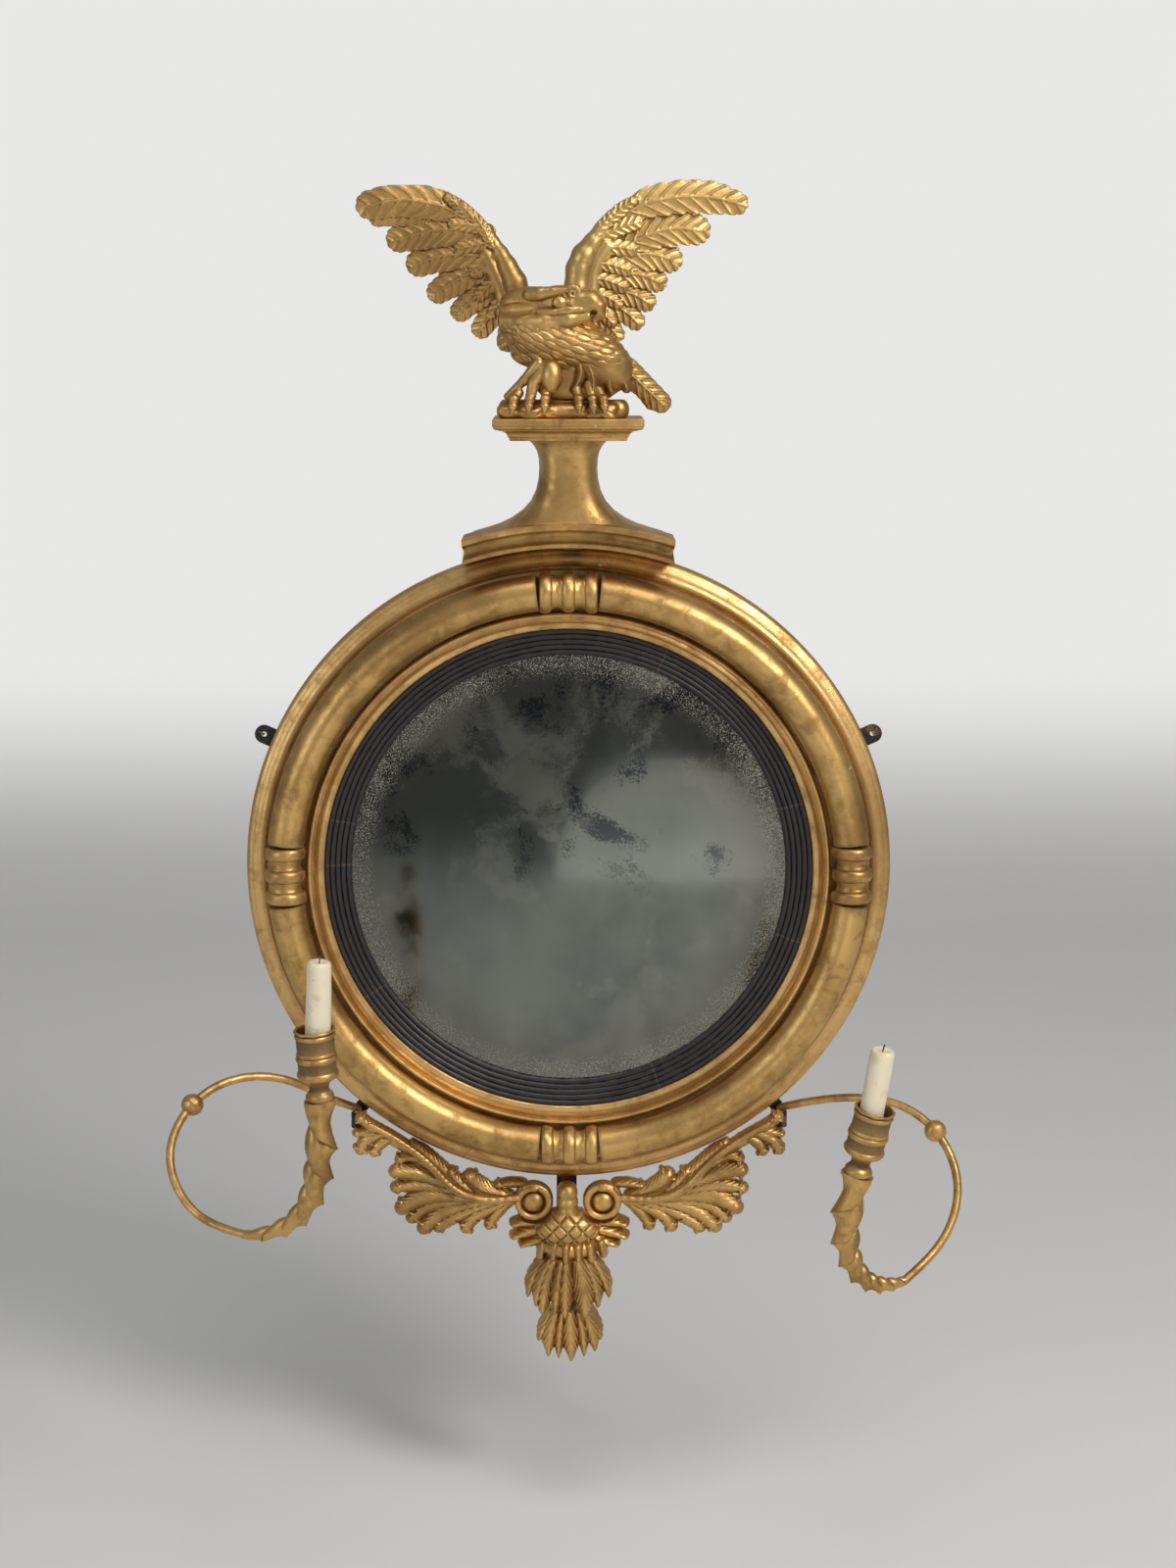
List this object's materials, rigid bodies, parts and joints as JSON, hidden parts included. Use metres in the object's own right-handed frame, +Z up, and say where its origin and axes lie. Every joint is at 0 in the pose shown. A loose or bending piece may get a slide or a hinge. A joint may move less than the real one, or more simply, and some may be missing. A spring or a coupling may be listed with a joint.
{
  "type": "girandole mirror",
  "caption": "Round convex wall mirror in a gilded moulded frame with a carved spread-winged bird on top, a leaf apron below and a swivelling candle arm on each side.",
  "frame": {"origin": "centre of the ring on the plane of its back, where the mirror lies against the wall", "axes": "+Z up, -Y out from the wall towards the viewer, +X to the viewer's right"},
  "size_m": [0.719, 0.2354, 1.0942],
  "materials": {
    "gilt_wood": "worn water gilding over red-brown bole",
    "gilt_carving": "carved and gilded, rubbed on the high spots",
    "gilt_composition": "gilded composition",
    "gilt_wire": "iron wire under worn gilding",
    "ebonised_wood": "ebonised, satin",
    "aged_mirror": "old silvering with foxing",
    "bare_pine": "bare aged softwood",
    "wrought_iron": "dark wrought iron",
    "old_wire": "dull old wire",
    "candle_wax": "ivory wax",
    "candle_wick": "cotton wick"
  },
  "bodies": {
    "frame": {"frame_ring": "gilt_wood", "torus_quarters": "gilt_wood", "clasp_top": "gilt_wood", "clasp_right": "gilt_wood", "clasp_bottom": "gilt_wood", "clasp_left": "gilt_wood", "reeded_slip": "ebonised_wood", "mirror_plate": "aged_mirror", "plate_blocks": "bare_pine", "backboard_plank_left": "bare_pine", "backboard_plank_middle": "bare_pine", "backboard_plank_right": "bare_pine", "hanging_lug_left": "wrought_iron", "hanging_lug_right": "wrought_iron", "lug_wire_left": "old_wire", "lug_wire_right": "old_wire", "pedestal_back_strap": "wrought_iron", "apron_strap": "wrought_iron", "pedestal_plinth": "gilt_wood", "pedestal_tenon": "bare_pine", "pedestal_neck": "gilt_wood", "pedestal_slab": "gilt_wood", "rock_peg": "bare_pine", "rock_base": "gilt_carving", "eagle_body": "gilt_carving", "wing_left": "gilt_carving", "wing_right": "gilt_carving", "wing_dowel_left": "bare_pine", "wing_dowel_right": "bare_pine", "apron_leaf_left": "gilt_carving", "apron_leaf_right": "gilt_carving", "apron_boss": "gilt_carving", "pendant_upper_husk": "gilt_carving", "pendant_lower_husk": "gilt_carving", "socket_plate_left": "wrought_iron", "socket_plate_right": "wrought_iron"},
    "arm_left": {"arm_wire_left": "gilt_wire", "arm_knop_left": "gilt_composition", "arm_twist_left": "gilt_composition", "nozzle_left": "gilt_composition"},
    "candle_left_body": {"candle_left": "candle_wax", "wick_left": "candle_wick"},
    "arm_right": {"arm_wire_right": "gilt_wire", "arm_knop_right": "gilt_composition", "arm_twist_right": "gilt_composition", "nozzle_right": "gilt_composition"},
    "candle_right_body": {"candle_right": "candle_wax", "wick_right": "candle_wick"}
  },
  "joints": [
    {"name": "arm_left_swivel", "type": "hinge", "parent": "frame", "child": "arm_left", "pos_m": [-0.199, -0.009, -0.243], "axis": [0, 0, 1], "range_deg": [-12, 12]},
    {"name": "arm_right_swivel", "type": "hinge", "parent": "frame", "child": "arm_right", "pos_m": [0.199, -0.009, -0.243], "axis": [0, 0, 1], "range_deg": [-12, 12]},
    {"name": "candle_left_lift", "type": "slide", "parent": "arm_left", "child": "candle_left_body", "axis": [0.0401, -0.0174, 0.999], "range_m": [0, 0.06]},
    {"name": "candle_right_lift", "type": "slide", "parent": "arm_right", "child": "candle_right_body", "axis": [0.1387, -0.0863, 0.9866], "range_m": [0, 0.06]}
  ]
}
